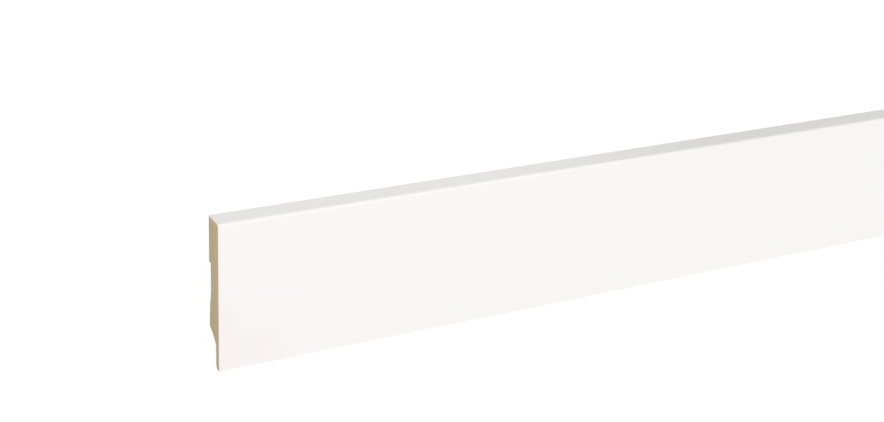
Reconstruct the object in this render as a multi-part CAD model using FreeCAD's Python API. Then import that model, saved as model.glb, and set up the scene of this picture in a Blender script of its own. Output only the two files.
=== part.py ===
import FreeCAD, Part
import os
from math import sqrt

# One length of moulded skirting board, machined from a single strip of fibreboard.
# It lies on its back, as it is stored, with its white face up.
# X runs along the board, Y from its foot to its top edge, and Z from its wall side to its face.
# The origin is at the middle of the length and of the height, in the plane of the wall.
# Sizes are in millimetres. Heights are measured up from the underside of the foot.

# The strip
board_length = 2400.0
board_height = 100.0
board_thickness = 16.0
face_round = 2.0

# The foot, a thin leg that hides the cable channel and is bevelled at the back of its tip
foot_thickness = 5.4
foot_height = 16.0
foot_blend = 2.5
bevel_height = 2.6
bevel_depth = 1.4

# The cove that rises from the foot to the crest, and the crest's narrow land on the wall
cove_rise = 8.6
cove_radius = 24.0
crest_width = 3.4
crest_ease = 0.8

# The clip recess, and what leads into it from the crest: a shallow lean and then a steeper ramp
lean_width = 13.4
lean_depth = 1.1
ramp_width = 7.8
recess_width = 19.8
recess_depth = 2.7

# Heights at which the back changes, one above the other
cove_top = foot_height + cove_rise
lean_bottom = cove_top + crest_width
ramp_bottom = lean_bottom + lean_width
recess_bottom = ramp_bottom + ramp_width
recess_top = recess_bottom + recess_width


def corner(height, depth):
    """A corner of the section at the left end, by its height and by its depth from the wall."""
    return FreeCAD.Vector(-board_length / 2, height - board_height / 2, depth)


def straight(*corners):
    """The straight edges that join the corners in turn."""
    return [Part.LineSegment(a, b).toShape() for a, b in zip(corners, corners[1:])]


def hollow(start, end, radius):
    """An arc from start to end that bows into the board from its wall side."""
    chord = end - start
    rise = radius - sqrt(radius**2 - (chord.Length / 2) ** 2)
    inwards = chord.cross(FreeCAD.Vector(-1, 0, 0)).normalize()
    return Part.Arc(start, start + chord / 2 + inwards * rise, end).toShape()


def arris(board, section_corner):
    """The edge that runs the whole length of the board from a corner of its section."""
    middle = section_corner + FreeCAD.Vector(board_length / 2, 0, 0)
    return min(board.Edges, key=lambda edge: edge.CenterOfMass.distanceToPoint(middle))


def skirting_board():
    """The section drawn out to the board's length, with the round of its face and of its cove's ends."""
    foot_back = board_thickness - foot_thickness

    front = corner(0, board_thickness), corner(0, foot_back + bevel_depth)
    leg = corner(bevel_height, foot_back), corner(foot_height, foot_back)
    crest = corner(cove_top, 0), corner(lean_bottom, 0)
    shoulder = corner(ramp_bottom, lean_depth)
    recess = corner(recess_bottom, recess_depth), corner(recess_top, recess_depth)
    top = corner(board_height, 0), corner(board_height, board_thickness)

    edges = straight(*front, *leg)
    edges.append(hollow(leg[1], crest[0], cove_radius))
    edges += straight(*crest, shoulder, *recess, corner(recess_top, 0), *top, front[0])

    board = Part.Face(Part.Wire(edges)).extrude(FreeCAD.Vector(board_length, 0, 0))
    for section_corner, radius in ((top[1], face_round), (leg[1], foot_blend), (crest[0], crest_ease)):
        board = board.makeFillet(radius, [arris(board, section_corner)])
    return board


parts = {"skirting_board": skirting_board()}

os.makedirs("parts", exist_ok=True)
for name, shape in parts.items():
    shape.exportStep(f"parts/{name}.step")
    print(name, "valid" if shape.isValid() else "not valid", round(shape.Volume), "cubic mm")
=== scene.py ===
from math import atan2, cos, pi, radians, sin, sqrt

import bpy
from mathutils import Matrix, Vector


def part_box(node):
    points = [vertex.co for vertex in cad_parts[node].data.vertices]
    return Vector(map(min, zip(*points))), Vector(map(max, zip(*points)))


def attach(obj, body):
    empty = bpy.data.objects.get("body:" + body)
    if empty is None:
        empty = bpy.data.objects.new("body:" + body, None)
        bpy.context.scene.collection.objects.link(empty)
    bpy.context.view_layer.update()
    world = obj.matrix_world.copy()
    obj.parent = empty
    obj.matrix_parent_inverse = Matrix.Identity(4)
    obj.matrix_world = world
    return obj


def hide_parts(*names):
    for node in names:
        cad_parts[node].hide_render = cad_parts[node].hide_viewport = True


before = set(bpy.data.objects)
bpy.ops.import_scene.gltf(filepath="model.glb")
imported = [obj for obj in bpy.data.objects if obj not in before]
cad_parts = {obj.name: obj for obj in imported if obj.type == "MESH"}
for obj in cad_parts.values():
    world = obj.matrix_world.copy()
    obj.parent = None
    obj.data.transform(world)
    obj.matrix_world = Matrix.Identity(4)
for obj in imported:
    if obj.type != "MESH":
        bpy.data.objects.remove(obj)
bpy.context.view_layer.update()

# A length of skirting board that lies on its back with its white face up, in metres.
# X runs along the board, Y from its foot to its top edge, and Z from its wall side to its face.

# The board's outer sizes and the places of its foot and its top edge on Y, from its part in model.glb
board_low, board_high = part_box("skirting_board")
LENGTH = board_high.x - board_low.x
HEIGHT = board_high.y - board_low.y
THICKNESS = board_high.z - board_low.z
FOOT = board_low.y
TOP = board_high.y

# The section's own sizes
FACE_ROUND = 0.002
FOOT_THICKNESS = 0.0054
FOOT_HEIGHT = 0.016
FOOT_BLEND = 0.0025
BEVEL_HEIGHT = 0.0026
BEVEL_DEPTH = 0.0014
COVE_RISE = 0.0086
COVE_RADIUS = 0.024
CREST_WIDTH = 0.0034
CREST_EASE = 0.0008
LEAN_WIDTH = 0.0134
LEAN_DEPTH = 0.0011
RAMP_WIDTH = 0.0078
RECESS_WIDTH = 0.0198
RECESS_DEPTH = 0.0027

# Places on Y at which the back changes, one above the other
LEG_TOP = FOOT + FOOT_HEIGHT
COVE_TOP = LEG_TOP + COVE_RISE
LEAN_START = COVE_TOP + CREST_WIDTH
SHOULDER = LEAN_START + LEAN_WIDTH
RECESS_START = SHOULDER + RAMP_WIDTH
RECESS_END = RECESS_START + RECESS_WIDTH

# The coat on the face, top edge and foot, and the broken arris of the sawn ends
COAT_THICKNESS = 0.00035
SAWN_ARRIS = 0.00015

# How finely each round of the section is drawn
ROUND_STEPS = 24
SHALLOW_STEPS = 24
EASE_STEPS = 20

# Edges that turn by more than this stay crisp, and points nearer than this become one
CREASE = radians(4.2)
MERGE_DISTANCE = 0.00001

# The two kinds of input that the moulding's tree takes
SIZE = "NodeSocketFloat"
FINISH = "NodeSocketMaterial"


class Field:
    """One output of a node. Arithmetic on it adds Math or Vector Math nodes to its tree."""

    def __init__(self, tree, socket):
        self.tree = tree
        self.socket = socket

    def worked(self, operation, *terms):
        wide = any(isinstance(t, Vector) or getattr(t, "is_wide", False) for t in terms)
        kind = "ShaderNodeVectorMath" if wide else "ShaderNodeMath"
        return self.tree.node(kind, {"operation": operation}, dict(enumerate(terms)))[0]

    @property
    def is_wide(self):
        """Whether it carries a vector or a colour and not one number."""
        return self.socket.type in ("VECTOR", "RGBA")

    def __add__(self, other):
        return self.worked("ADD", self, other)

    def __sub__(self, other):
        return self.worked("SUBTRACT", self, other)

    def __rsub__(self, other):
        return self.worked("SUBTRACT", other, self)

    def __mul__(self, other):
        return self.worked("MULTIPLY", self, other)

    def __truediv__(self, other):
        return self.worked("DIVIDE", self, other)

    def __gt__(self, other):
        return self.worked("GREATER_THAN", self, other)

    def __lt__(self, other):
        return self.worked("LESS_THAN", self, other)

    def __abs__(self):
        return self.worked("ABSOLUTE", self)

    __radd__ = __add__
    __rmul__ = __mul__

    def sine(self):
        return self.worked("SINE", self)

    def length(self):
        return self.tree.node("ShaderNodeVectorMath", {"operation": "LENGTH"}, {0: self})["Value"]

    def axis(self, name):
        return self.tree.node("ShaderNodeSeparateXYZ", {}, {0: self})[name]

    def eased(self, start, end):
        """0 before start, 1 after end, and a smooth rise between them."""
        settings = {"interpolation_type": "SMOOTHSTEP"}
        sockets = {"Value": self, "From Min": start, "From Max": end}
        return self.tree.node("ShaderNodeMapRange", settings, sockets)["Result"]


class Node:
    """A node whose outputs are read by name or by number."""

    def __init__(self, tree, made):
        self.tree = tree
        self.made = made

    def __getitem__(self, name):
        return Field(self.tree, self.made.outputs[name])


class Tree:
    """A shader or geometry node tree and the one way in which its nodes are made."""

    def __init__(self, node_tree):
        self.node_tree = node_tree

    def node(self, kind, settings, sockets):
        """Makes a node, gives it its settings and then the values or links of its sockets."""
        made = self.node_tree.nodes.new(kind)
        for name, value in settings.items():
            setattr(made, name, value)
        for name, value in sockets.items():
            self.feed(made.inputs[name], value)
        return Node(self, made)

    def feed(self, socket, value):
        """Links a field to a socket, or sets the socket to a value."""
        if isinstance(value, Field):
            self.node_tree.links.new(value.socket, socket)
        elif socket.type == "VECTOR" and isinstance(value, (int, float)):
            socket.default_value = (value, value, value)
        else:
            socket.default_value = value

    def mixed(self, factor, first, second):
        """A colour that goes from the first to the second as the factor goes from 0 to 1."""
        made = self.node_tree.nodes.new("ShaderNodeMix")
        made.data_type = "RGBA"
        by_identifier = {s.identifier: s for s in made.inputs}
        self.feed(by_identifier["Factor_Float"], factor)
        self.feed(by_identifier["A_Color"], first)
        self.feed(by_identifier["B_Color"], second)
        result = next(s for s in made.outputs if s.identifier == "Result_Color")
        return Field(self, result)

    def noise(self, place, grains, detail=2.0, roughness=0.5):
        """Noise around 0.5 with this many grains in a metre, the same along each axis or one for each."""
        if isinstance(grains, Vector):
            place, grains = place * grains, 1.0
        sockets = {"Vector": place, "Scale": grains, "Detail": detail, "Roughness": roughness}
        return self.node("ShaderNodeTexNoise", {}, sockets)[0]

    def bump(self, height, distance):
        """The normal of a surface that rises by distance where height is 1."""
        sockets = {"Height": height, "Distance": distance, "Strength": 1.0}
        return self.node("ShaderNodeBump", {}, sockets)["Normal"]


def coloured(red, green, blue):
    """An opaque colour, in linear light."""
    return (red, green, blue, 1.0)


def new_material(name):
    """A material, its tree and its shader, before anything is linked."""
    material = bpy.data.materials.new(name)
    material.use_nodes = True
    tree = Tree(material.node_tree)
    shader = material.node_tree.nodes["Principled BSDF"]
    return material, tree, shader


def board_place(tree):
    """Where a point lies on the board, in the board's own metres."""
    return tree.node("ShaderNodeTexCoord", {}, {})["Object"]


# A painted shadow darkens the tip of the foot at both sawn ends
TIP_SHADOW = coloured(0.22, 0.22, 0.215)


def white_coat():
    """The satin white coat, with a faint orange peel and the long lines that the coater leaves.

    It is warmer where the ends have been handled, has painted shade greying the top edge towards the wall
    side, and is dusty along the sawn ends.
    """
    material, tree, shader = new_material("white_coat")
    place = board_place(tree)
    height, depth = place.axis("Y"), place.axis("Z")
    from_end = LENGTH / 2 - abs(place.axis("X"))

    cloud = tree.noise(place, 9.0)
    peel = tree.noise(place, 330.0, detail=1.0)
    lines = tree.noise(place, Vector((6.0, 700.0, 700.0)))
    patches = 0.5 * cloud + 0.5 * lines
    tone = tree.mixed(patches, coloured(0.898, 0.873, 0.862), coloured(0.914, 0.890, 0.878))

    beside_end = from_end.eased(0.014, 0.005) * height.eased(0.002, -0.009)
    lower_corner = from_end.eased(0.057, 0.018) * height.eased(FOOT + 0.030, LEG_TOP)
    around = 0.2 * from_end.eased(0.085, 0.050) * height.eased(0.002, -0.010)
    handled = beside_end + lower_corner + around
    tone = tree.mixed(handled, tone, coloured(0.895, 0.857, 0.836))

    # Painted shade greys the top edge towards the wall side
    shade_near_wall = depth.eased(0.007, 0.0)
    tone = tree.mixed(shade_near_wall, tone, coloured(0.876, 0.860, 0.852))

    dusty = 0.75 * from_end.eased(0.0035, 0.0)
    tone = tree.mixed(dusty, tone, coloured(0.930, 0.835, 0.765))

    tree.feed(shader.inputs["Base Color"], tone)
    tree.feed(shader.inputs["Roughness"], 0.36 + 0.08 * lines)
    tree.feed(shader.inputs["Normal"], tree.bump(peel + 0.4 * lines, 0.000006))
    return material


def coat_edge():
    """The coat where it is cut through at the sawn ends, cream with dust of the board in its pores."""
    material, tree, shader = new_material("coat_edge")
    place = board_place(tree)
    dust = tree.noise(place, 2500.0, detail=3.0).eased(0.4, 0.7)
    tone = tree.mixed(dust, coloured(0.81, 0.75, 0.665), coloured(0.70, 0.64, 0.54))

    # Painted shadow darkens the cut coat at the tip of the foot
    shadow_at_tip = 0.8 * place.axis("Y").eased(FOOT + 0.0010, FOOT + 0.0003)
    tone = tree.mixed(shadow_at_tip, tone, TIP_SHADOW)

    tree.feed(shader.inputs["Base Color"], tone)
    tree.feed(shader.inputs["Roughness"], 0.65 + 0.15 * dust)
    return material


def fibred(tree, place, tone):
    """This tone with MDF's thin layers, its dark and pale fibres and a few specks of bark."""
    layers = tree.noise(place, Vector((60.0, 60.0, 1100.0)))
    fibres = tree.noise(place, Vector((1300.0, 1300.0, 3600.0)), detail=4.0, roughness=0.65)
    specks = tree.noise(place, Vector((700.0, 700.0, 2000.0)), detail=1.0)
    tone = tree.mixed(0.3 * layers.eased(0.35, 0.75), tone, coloured(0.44, 0.35, 0.22))
    tone = tree.mixed(0.45 * fibres.eased(0.5, 0.66), tone, coloured(0.33, 0.25, 0.155))
    tone = tree.mixed(0.4 * fibres.eased(0.5, 0.34), tone, coloured(0.72, 0.62, 0.44))
    tone = tree.mixed(0.6 * specks.eased(0.68, 0.78), tone, coloured(0.17, 0.11, 0.065))
    return tone, fibres


def sawn_fibreboard():
    """The board's sawn ends: open fibres and the faint arcs of the saw's teeth.

    They are warm in the middle, grey under the faces and the top edge, and greyer and darker down to the
    foot, where painted shadow greys the last few millimetres and darkens its tip.
    """
    material, tree, shader = new_material("sawn_fibreboard")
    place = board_place(tree)
    height, depth = place.axis("Y"), place.axis("Z")

    # Each of the three layers through the thickness has a tone above and one below
    below = height.eased(0.005, LEG_TOP - 0.001)
    core = tree.mixed(below, coloured(0.547, 0.426, 0.255), coloured(0.490, 0.398, 0.242))
    back = tree.mixed(below, coloured(0.470, 0.412, 0.262), coloured(0.428, 0.405, 0.274))
    front = tree.mixed(below, coloured(0.527, 0.440, 0.330), coloured(0.490, 0.412, 0.312))
    tone = tree.mixed(depth.eased(THICKNESS / 2, 0.001), core, back)
    tone = tree.mixed(depth.eased(0.010, THICKNESS - 0.0005), tone, front)

    under_top = height.eased(TOP - 0.0035, TOP + 0.0002)
    tone = tree.mixed(under_top, tone, coloured(0.575, 0.500, 0.390))

    in_leg = height.eased(LEG_TOP + 0.008, LEG_TOP - 0.002)
    tone = tree.mixed(in_leg, tone, coloured(0.452, 0.410, 0.325))

    beside_recess = height.eased(RECESS_END + 0.002, RECESS_END - 0.002) * height.eased(-0.012, 0.0)
    behind_clips = 0.55 * beside_recess * depth.eased(0.011, 0.004)
    tone = tree.mixed(behind_clips, tone, coloured(0.465, 0.452, 0.292))

    # Painted shadow greys the last few millimetres above the foot's tip
    shade_above_tip = 0.5 * height.eased(FOOT + 0.0045, FOOT + 0.0015)
    tone = tree.mixed(shade_above_tip, tone, coloured(0.35, 0.35, 0.34))

    # Painted shadow, darkest at the very tip of the foot
    shadow_at_tip = 0.8 * height.eased(FOOT + 0.0016, FOOT + 0.0004)
    tone = tree.mixed(shadow_at_tip, tone, TIP_SHADOW)

    tone, fibres = fibred(tree, place, tone)
    saw_centre = Vector((0.0, 0.06, -0.13))
    saw_pitch = 0.0011
    from_centre = (place - saw_centre) * Vector((0.0, 1.0, 1.0))
    unevenness = 3.0 * tree.noise(place, 60.0)
    arcs = (from_centre.length() * (2 * pi / saw_pitch) + unevenness).sine()
    tone = tree.mixed(0.06 * (arcs > 0.3), tone, coloured(0.30, 0.22, 0.14))

    tree.feed(shader.inputs["Base Color"], tone)
    shader.inputs["Roughness"].default_value = 0.9
    shader.inputs["Specular IOR Level"].default_value = 0.25
    tree.feed(shader.inputs["Normal"], tree.bump(fibres + 0.25 * arcs, 0.00006))
    return material


def machined_fibreboard():
    """The bare back: a smooth pressed skin on the lands, and streaks of the cutter where it was cut away."""
    material, tree, shader = new_material("machined_fibreboard")
    place = board_place(tree)
    cut = place.axis("Z").eased(0.0001, 0.0004)
    cloud = tree.noise(place, 14.0, detail=3.0).eased(0.3, 0.7)
    skin = tree.mixed(cloud, coloured(0.450, 0.380, 0.262), coloured(0.480, 0.405, 0.280))
    fresh = tree.mixed(cloud, coloured(0.525, 0.430, 0.285), coloured(0.555, 0.455, 0.300))
    tone, fibres = fibred(tree, place, tree.mixed(cut, skin, fresh))

    streaks = tree.noise(place, Vector((4.0, 1500.0, 1500.0)))
    tone = tree.mixed(0.3 * cut * streaks, tone, coloured(0.42, 0.31, 0.18))
    knife_pitch = 0.0018
    knives = (place.axis("X") * (2 * pi / knife_pitch)).sine()
    relief = 0.4 * fibres + cut * (0.5 * streaks + 0.06 * knives)

    tree.feed(shader.inputs["Base Color"], tone)
    tree.feed(shader.inputs["Roughness"], 0.62 + 0.2 * cut)
    shader.inputs["Specular IOR Level"].default_value = 0.3
    tree.feed(shader.inputs["Normal"], tree.bump(relief, 0.00003))
    return material


def arc(centre, radius, start, end, steps):
    """The points of an arc about its centre, from one angle to the other."""
    angles = [start + (end - start) * i / steps for i in range(steps + 1)]
    return [Vector((centre.x + radius * cos(a), centre.y + radius * sin(a))) for a in angles]


def bearing(start, end):
    """The direction in which end lies from start, as an angle."""
    return atan2(end.y - start.y, end.x - start.x)


def section_outline():
    """The section's corners, from the foot's heel round the back, and how many of them are on the back.

    Each is a point of the Y and Z axes. Those on the back come first.
    """
    leg_back = THICKNESS - FOOT_THICKNESS

    # The cove's circle goes through the top of the leg and the corner of the crest
    leg_corner = Vector((LEG_TOP, leg_back))
    crest_corner = Vector((COVE_TOP, 0.0))
    chord = crest_corner - leg_corner
    away = Vector((chord.y, -chord.x)).normalized()
    cove = (leg_corner + crest_corner) / 2 + away * sqrt(COVE_RADIUS**2 - chord.length_squared / 4)

    def beside_cove(depth, reach):
        """The point at this depth that lies this far from the cove's centre."""
        return Vector((cove.x + sqrt(reach**2 - (depth - cove.y) ** 2), depth))

    blend = beside_cove(leg_back - FOOT_BLEND, COVE_RADIUS - FOOT_BLEND)
    ease = beside_cove(CREST_EASE, COVE_RADIUS + CREST_EASE)
    face_round = Vector((TOP - FACE_ROUND, THICKNESS - FACE_ROUND))

    back = [Vector((FOOT, leg_back + BEVEL_DEPTH)), Vector((FOOT + BEVEL_HEIGHT, leg_back))]
    back += arc(blend, FOOT_BLEND, pi / 2, bearing(cove, blend), EASE_STEPS)
    back += arc(cove, COVE_RADIUS, bearing(cove, blend), bearing(cove, ease), SHALLOW_STEPS)[1:]
    back += arc(ease, CREST_EASE, bearing(ease, cove), -pi / 2, EASE_STEPS)[1:]
    back += [Vector((LEAN_START, 0.0)), Vector((SHOULDER, LEAN_DEPTH)), Vector((RECESS_START, RECESS_DEPTH))]
    back += [Vector((RECESS_END, RECESS_DEPTH)), Vector((RECESS_END, 0.0))]
    front = [Vector((TOP, 0.0))]
    front += arc(face_round, FACE_ROUND, 0.0, pi / 2, ROUND_STEPS)
    front += [Vector((FOOT, THICKNESS))]
    return back + front, len(back)


def inward_steps(outline):
    """For each corner, the step that moves it 1 m into the section, square to both of its sides."""
    steps = []
    for before, corner, after in zip(outline[-1:] + outline[:-1], outline, outline[1:] + outline[:1]):
        arriving = (corner - before).normalized()
        leaving = (after - corner).normalized()
        normals = Vector((-arriving.y, arriving.x)), Vector((-leaving.y, leaving.x))
        steps.append((normals[0] + normals[1]) / (1 + normals[0].dot(normals[1])))
    return steps


def section_mesh():
    """The section as one flat face, with what the moulding's tree needs to know, and its girth.

    Each corner has its step inwards, whether the coat reaches it, and how far along the outline it
    lies. The coat ends at the foot's heel, which is the first corner, and at the back of the top edge.
    """
    outline, on_back = section_outline()
    mesh = bpy.data.meshes.new("section")
    mesh.from_pydata([(0.0, p.x, p.y) for p in outline], [], [range(len(outline))])
    inwards = [(0.0, step.x, step.y) for step in inward_steps(outline)]
    coated = [float(i == 0 or i >= on_back) for i in range(len(outline))]
    along = [0.0]
    for before, corner in zip(outline, outline[1:]):
        along.append(along[-1] + (corner - before).length)
    mesh.attributes.new("inwards", "FLOAT_VECTOR", "POINT").data.foreach_set("vector", sum(inwards, ()))
    mesh.attributes.new("coated", "FLOAT", "POINT").data.foreach_set("value", coated)
    mesh.attributes.new("along", "FLOAT", "POINT").data.foreach_set("value", along)
    girth = along[-1] + (outline[0] - outline[-1]).length
    return mesh, girth


class GeometryTree(Tree):
    """A Geometry Nodes tree with named inputs, from its geometry in to its geometry out."""

    def __init__(self, name, inputs):
        super().__init__(bpy.data.node_groups.new(name, "GeometryNodeTree"))
        interface = self.node_tree.interface
        interface.new_socket("Geometry", in_out="INPUT", socket_type="NodeSocketGeometry")
        for label, kind in inputs.items():
            interface.new_socket(label, in_out="INPUT", socket_type=kind)
        interface.new_socket("Geometry", in_out="OUTPUT", socket_type="NodeSocketGeometry")
        self.given = self.node("NodeGroupInput", {}, {})

    def attribute(self, name, kind="FLOAT"):
        return self.node("GeometryNodeInputNamedAttribute", {"data_type": kind}, {"Name": name})[0]

    def vector(self, x, y, z):
        return self.node("ShaderNodeCombineXYZ", {}, {"X": x, "Y": y, "Z": z})[0]

    def on_faces(self, value):
        """What a face has of this, as the mean of its corners."""
        return self.node("GeometryNodeFieldOnDomain", {"domain": "FACE"}, {0: value})[0]

    def moved(self, geometry, offset, selection=True):
        sockets = {"Geometry": geometry, "Selection": selection, "Offset": offset}
        return self.node("GeometryNodeSetPosition", {}, sockets)[0]

    def drawn_out(self, geometry, distance, selection=True):
        """The faces of the selection drawn out along X, and the selection of the faces that moved."""
        sockets = {
            "Mesh": geometry,
            "Selection": selection,
            "Offset": self.vector(1.0, 0.0, 0.0),
            "Offset Scale": distance,
            "Individual": False,
        }
        made = self.node("GeometryNodeExtrudeMesh", {"mode": "FACES"}, sockets)
        return made["Mesh"], made["Top"]

    def finished(self, geometry, material, selection=True):
        sockets = {"Geometry": geometry, "Selection": selection, "Material": material}
        return self.node("GeometryNodeSetMaterial", {}, sockets)[0]


def drawn_from_section(tree):
    """The section as the left end, and the sides and the right end drawn out of it.

    Both ends lie a little inside the outline, and the broken arris runs from them out to the sides.
    """
    length, arris = tree.given["Length"], tree.given["Arris"]
    inset = tree.attribute("inwards", "FLOAT_VECTOR") * tree.given["Coat"]
    left_end = tree.moved(tree.given["Geometry"], inset + tree.vector(length * -0.5, 0.0, 0.0))
    board, front = tree.drawn_out(left_end, arris)
    board = tree.moved(board, inset * -1.0, front)
    board, front = tree.drawn_out(board, length - 2.0 * arris, front)
    board, front = tree.drawn_out(board, arris, front)
    board = tree.moved(board, inset, front)
    left_end = tree.node("GeometryNodeFlipFaces", {}, {"Mesh": left_end})[0]
    joined = tree.node("GeometryNodeJoinGeometry", {}, {"Geometry": left_end})
    tree.feed(joined.made.inputs["Geometry"], board)
    sockets = {"Geometry": joined[0], "Distance": MERGE_DISTANCE}
    return tree.node("GeometryNodeMergeByDistance", {}, sockets)[0]


def unrolled(tree, board, is_side):
    """The board with the map of its bake: the long sides above, and the two ends in rows below them."""
    row = 0.13
    margin = 0.005
    place = tree.node("GeometryNodeInputPosition", {}, {})[0]

    # On the side that closes the outline, the first corner lies a whole girth along it
    girth = tree.given["Girth"]
    along = tree.attribute("along")
    closing = tree.on_faces(along) - along > girth / 4.0
    around = (along + closing * girth) / girth
    side_u = place.axis("X") / tree.given["Length"] + 0.5
    side_v = 2 * row + margin + around * (1 - 2 * row - 2 * margin)

    end_row = tree.on_faces(place.axis("X")) > 0.0
    end_u = place.axis("Y") / tree.given["Height"] + 0.5
    end_v = end_row * row + margin + place.axis("Z") / tree.given["Thickness"] * (row - 2 * margin)

    on_side = tree.on_faces(is_side)
    u = margin + (end_u + on_side * (side_u - end_u)) * (1 - 2 * margin)
    v = end_v + on_side * (side_v - end_v)
    settings = {"data_type": "FLOAT2", "domain": "CORNER"}
    sockets = {"Geometry": board, "Name": "OFBake", "Value": tree.vector(u, v, 0.0)}
    return tree.node("GeometryNodeStoreNamedAttribute", settings, sockets)[0]


def shaded(tree, board):
    """The board with smooth rounds and crisp edges."""
    turn = tree.node("GeometryNodeInputMeshEdgeAngle", {}, {})["Unsigned Angle"]
    sockets = {"Geometry": board, "Shade Smooth": True}
    board = tree.node("GeometryNodeSetShadeSmooth", {"domain": "FACE"}, sockets)[0]
    sockets = {"Geometry": board, "Selection": turn > tree.given["Crease"], "Shade Smooth": False}
    return tree.node("GeometryNodeSetShadeSmooth", {"domain": "EDGE"}, sockets)[0]


def moulding_tree():
    """Draws a section out into a board, with a broken arris at both ends and a finish on each side."""
    sizes = dict.fromkeys(["Length", "Height", "Thickness", "Girth", "Coat", "Arris", "Crease"], SIZE)
    finishes = dict.fromkeys(["Coated", "Coat edge", "Machined", "Sawn"], FINISH)
    tree = GeometryTree("moulding", sizes | finishes)

    # Flat ends look along X, the arris partly so, and the long sides not at all
    facing = abs(tree.node("GeometryNodeInputNormal", {}, {})[0].axis("X"))
    is_side = facing < 0.5
    is_off_ends = facing < 0.999

    # Sides and arrises are coated where all their corners are
    is_coated = (tree.on_faces(tree.attribute("coated")) > 0.75) * is_off_ends

    board = drawn_from_section(tree)
    board = unrolled(tree, board, is_side)
    board = shaded(tree, board)
    board = tree.node("GeometryNodeRealizeInstances", {}, {"Geometry": board})[0]
    board = tree.finished(board, tree.given["Sawn"])
    board = tree.finished(board, tree.given["Machined"], is_side)
    board = tree.finished(board, tree.given["Coat edge"], is_coated)
    board = tree.finished(board, tree.given["Coated"], is_coated * is_side)
    tree.node("NodeGroupOutput", {}, {"Geometry": board})
    return tree.node_tree


def grown(name, mesh, node_tree, values):
    """The mesh that a Geometry Nodes tree makes of another with these inputs, as a plain object."""
    source = bpy.data.objects.new(name, mesh)
    bpy.context.scene.collection.objects.link(source)
    modifier = source.modifiers.new(name, "NODES")
    modifier.node_group = node_tree
    identifiers = {i.name: i.identifier for i in node_tree.interface.items_tree if i.in_out == "INPUT"}
    for label, value in values.items():
        modifier[identifiers[label]] = value
    evaluated = source.evaluated_get(bpy.context.evaluated_depsgraph_get())
    made = bpy.data.meshes.new_from_object(evaluated)
    source.modifiers.remove(modifier)
    source.data = made
    made.name = name
    return source


def skirting_board():
    """The finished board in one piece, in place of its plain CAD node."""
    section, girth = section_mesh()
    values = {
        "Length": LENGTH,
        "Height": HEIGHT,
        "Thickness": THICKNESS,
        "Girth": girth,
        "Coat": COAT_THICKNESS,
        "Arris": SAWN_ARRIS,
        "Crease": CREASE,
        "Coated": white_coat(),
        "Coat edge": coat_edge(),
        "Machined": machined_fibreboard(),
        "Sawn": sawn_fibreboard(),
    }
    section.materials.append(values["Sawn"])
    board = grown("finished_board", section, moulding_tree(), values)
    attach(board, "root")
    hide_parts("skirting_board")


def seen_directly(tree):
    """1 for the camera and for what is seen in a gloss or through glass, and 0 for plain light."""
    path = tree.node("ShaderNodeLightPath", {}, {})
    seen = path["Is Camera Ray"] + path["Is Glossy Ray"] + path["Is Transmission Ray"]
    return seen > 0.5


def studio_floor():
    """A pale floor that shows as white and keeps a faint shadow of the board."""
    half = 8.0
    mesh = bpy.data.meshes.new("floor")
    corners = [(-half, -half, 0.0), (half, -half, 0.0), (half, half, 0.0), (-half, half, 0.0)]
    mesh.from_pydata(corners, [], [range(4)])
    floor = bpy.data.objects.new("floor", mesh)
    bpy.context.scene.collection.objects.link(floor)
    material, tree, shader = new_material("floor")
    shader.inputs["Base Color"].default_value = coloured(0.664, 0.664, 0.664)
    shader.inputs["Roughness"].default_value = 0.9
    shader.inputs["Specular IOR Level"].default_value = 0.0
    glow = tree.node("ShaderNodeEmission", {}, {"Color": coloured(1, 1, 1), "Strength": 1.15})[0]
    lit = Field(tree, shader.outputs[0])
    glowing = 0.72 * seen_directly(tree)
    surface = tree.node("ShaderNodeMixShader", {}, {0: glowing, 1: lit, 2: glow})[0]
    tree.feed(material.node_tree.nodes["Material Output"].inputs["Surface"], surface)
    mesh.materials.append(material)


def studio_world():
    """Soft light from all round, in front of plain white."""
    world = bpy.data.worlds.new("studio")
    world.use_nodes = True
    bpy.context.scene.world = world
    tree = Tree(world.node_tree)
    sky = 0.564
    background = world.node_tree.nodes["Background"]
    background.inputs["Color"].default_value = coloured(1, 1, 1)
    tree.feed(background.inputs["Strength"], sky + (1 - sky) * seen_directly(tree))


def hung(name, lamp, towards_lamp, place=(0.0, 0.0, 0.0)):
    """Hangs a lamp in this place, so that its light comes from the direction given."""
    holder = bpy.data.objects.new(name, lamp)
    holder.location = place
    holder.rotation_euler = Vector(towards_lamp).to_track_quat("Z", "Y").to_euler()
    bpy.context.scene.collection.objects.link(holder)


def softbox():
    """One wide lamp above the near end."""
    lamp = bpy.data.lights.new("softbox", "SUN")
    lamp.energy = 0.54 * pi
    lamp.angle = radians(30)
    hung("softbox", lamp, (-0.494, 0.155, 0.894))


def side_lamp():
    """A low lamp on the side of the top edge, whose light fades away along the board."""
    lamp = bpy.data.lights.new("side_lamp", "SPOT")
    lamp.energy = 4.8
    lamp.spot_size = radians(38.6)
    lamp.spot_blend = 0.87
    lamp.shadow_soft_size = 0.005
    hung("side_lamp", lamp, (0.0, 1.0, 0.092), (-1.15, 1.05, 0.1))


def studio_camera():
    """The view of the near end from above, with the top edge at the top of the picture."""
    eye = Vector((-1.5037, 0.4331, 0.8252))
    aim = Vector((-1.0463, 0.0341, 0.015))
    lean = radians(3.045)
    lens = bpy.data.cameras.new("camera")
    lens.lens = 63.73
    lens.sensor_width = 36.0
    lens.sensor_fit = "HORIZONTAL"
    camera = bpy.data.objects.new("camera", lens)
    forward = (aim - eye).normalized()
    right = forward.cross(Vector((0.0, 1.0, 0.0))).normalized()
    up = right.cross(forward)
    turned = Matrix((right, up, -forward)).transposed() @ Matrix.Rotation(lean, 3, "Z")
    camera.matrix_world = Matrix.Translation(eye) @ turned.to_4x4()
    bpy.context.scene.collection.objects.link(camera)
    bpy.context.scene.camera = camera


bpy.context.scene.view_settings.view_transform = "Standard"
skirting_board()
studio_floor()
studio_world()
softbox()
side_lamp()
studio_camera()
